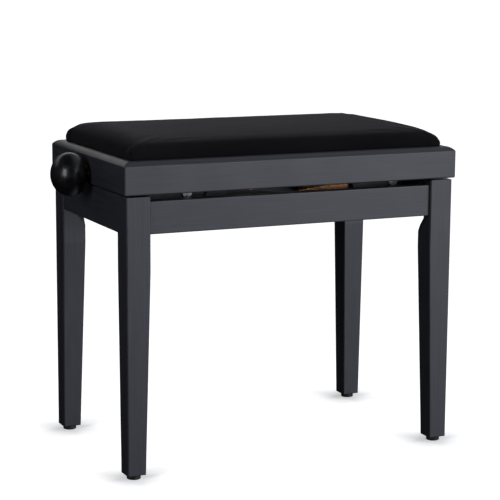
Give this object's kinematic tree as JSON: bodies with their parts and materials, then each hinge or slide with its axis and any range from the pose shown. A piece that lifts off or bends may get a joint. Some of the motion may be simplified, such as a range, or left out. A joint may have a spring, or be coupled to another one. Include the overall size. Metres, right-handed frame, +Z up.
{
  "type": "adjustable piano bench",
  "caption": "Rectangular upholstered bench on square tapered legs; side knobs turn a screw that raises the seat on a scissor lift inside the frame.",
  "frame": {"origin": "on the floor under the middle of the bench", "axes": "+Z up, +X along the width towards the right-hand knob, +Y from the front to the rear"},
  "size_m": [0.6132, 0.305, 0.47],
  "materials": {
    "black_wood": "satin black lacquer",
    "velvet": "short-pile velvet",
    "raw_wood": "unpainted plywood and softwood",
    "black_plastic": "matt",
    "knob_plastic": "satin",
    "brass": "turned",
    "nylon": "natural",
    "yellow_zinc": "yellow passivated zinc",
    "painted_steel": "black stove enamel",
    "bright_zinc": "bright zinc"
  },
  "bodies": {
    "base": {"apron_front": "black_wood", "apron_left": "black_wood", "apron_rear": "black_wood", "apron_right": "black_wood", "bracket_screws": "bright_zinc", "corner_bracket_front_left": "yellow_zinc", "corner_bracket_front_right": "yellow_zinc", "corner_bracket_rear_left": "yellow_zinc", "corner_bracket_rear_right": "yellow_zinc", "foot_glide_front_left": "black_plastic", "foot_glide_front_right": "black_plastic", "foot_glide_rear_left": "black_plastic", "foot_glide_rear_right": "black_plastic", "hanger_bolts": "bright_zinc", "hanger_nuts": "bright_zinc", "hanger_washers": "bright_zinc", "leg_front_left": "black_wood", "leg_front_right": "black_wood", "leg_rear_left": "black_wood", "leg_rear_right": "black_wood", "lower_pivot_rod": "bright_zinc", "lower_rail_front": "painted_steel", "lower_rail_rear": "painted_steel", "lower_rail_screws": "bright_zinc"},
    "seat": {"board_screws": "bright_zinc", "cushion": "velvet", "seat_board": "raw_wood", "seat_corner_blocks": "raw_wood", "seat_rail_front": "black_wood", "seat_rail_left": "black_wood", "seat_rail_rear": "black_wood", "seat_rail_right": "black_wood", "spindle_bush_left": "brass", "spindle_bush_right": "brass", "upper_pivot_rod": "bright_zinc", "upper_rail_front": "painted_steel", "upper_rail_rear": "painted_steel", "upper_rail_screws": "bright_zinc"},
    "outer_arms": {"centre_rivets": "bright_zinc", "lift_shaft": "bright_zinc", "outer_arm_cross_tube": "bright_zinc", "outer_arm_front": "painted_steel", "outer_arm_rear": "painted_steel", "outer_arm_sleeves": "nylon", "outer_arm_washers": "bright_zinc"},
    "inner_arms": {"inner_arm_cross_tube": "bright_zinc", "inner_arm_front": "yellow_zinc", "inner_arm_rear": "yellow_zinc", "inner_arm_sleeves": "nylon", "inner_arm_spacers": "bright_zinc", "slide_rod": "bright_zinc"},
    "spindle": {"collar_screws": "bright_zinc", "knob_left": "knob_plastic", "knob_right": "knob_plastic", "knob_screws": "bright_zinc", "lift_spindle": "bright_zinc", "spindle_collars": "bright_zinc"},
    "nut_carriage": {"drive_yoke": "yellow_zinc", "lead_nut": "brass"}
  },
  "joints": [
    {"name": "seat_lift", "type": "slide", "parent": "base", "child": "seat", "axis": [0, 0, 1], "range_m": [0, 0.09]},
    {"name": "outer_arm_pivot", "type": "hinge", "parent": "base", "child": "outer_arms", "pos_m": [0.189, 0, 0.349], "axis": [0, 1, 0], "range_deg": [0, 16.1]},
    {"name": "inner_arm_pivot", "type": "hinge", "parent": "seat", "child": "inner_arms", "pos_m": [0.189, 0, 0.386], "axis": [0, -1, 0], "range_deg": [0, 16.1]},
    {"name": "nut_travel", "type": "slide", "parent": "seat", "child": "nut_carriage", "axis": [1, 0, 0], "range_m": [0, 0.02096]},
    {"name": "spindle_turn", "type": "hinge", "parent": "seat", "child": "spindle", "pos_m": [0, 0, 0.4076], "axis": [-1, 0, 0], "range_deg": [0, 3770.29]}
  ],
  "couplings": [
    {"joint": "outer_arm_pivot", "follows": "seat_lift", "rad_per_m": 3.1211},
    {"joint": "inner_arm_pivot", "follows": "seat_lift", "rad_per_m": 3.1211},
    {"joint": "nut_travel", "follows": "seat_lift", "ratio": 0.23273},
    {"joint": "spindle_turn", "follows": "seat_lift", "rad_per_m": 731.14}
  ]
}
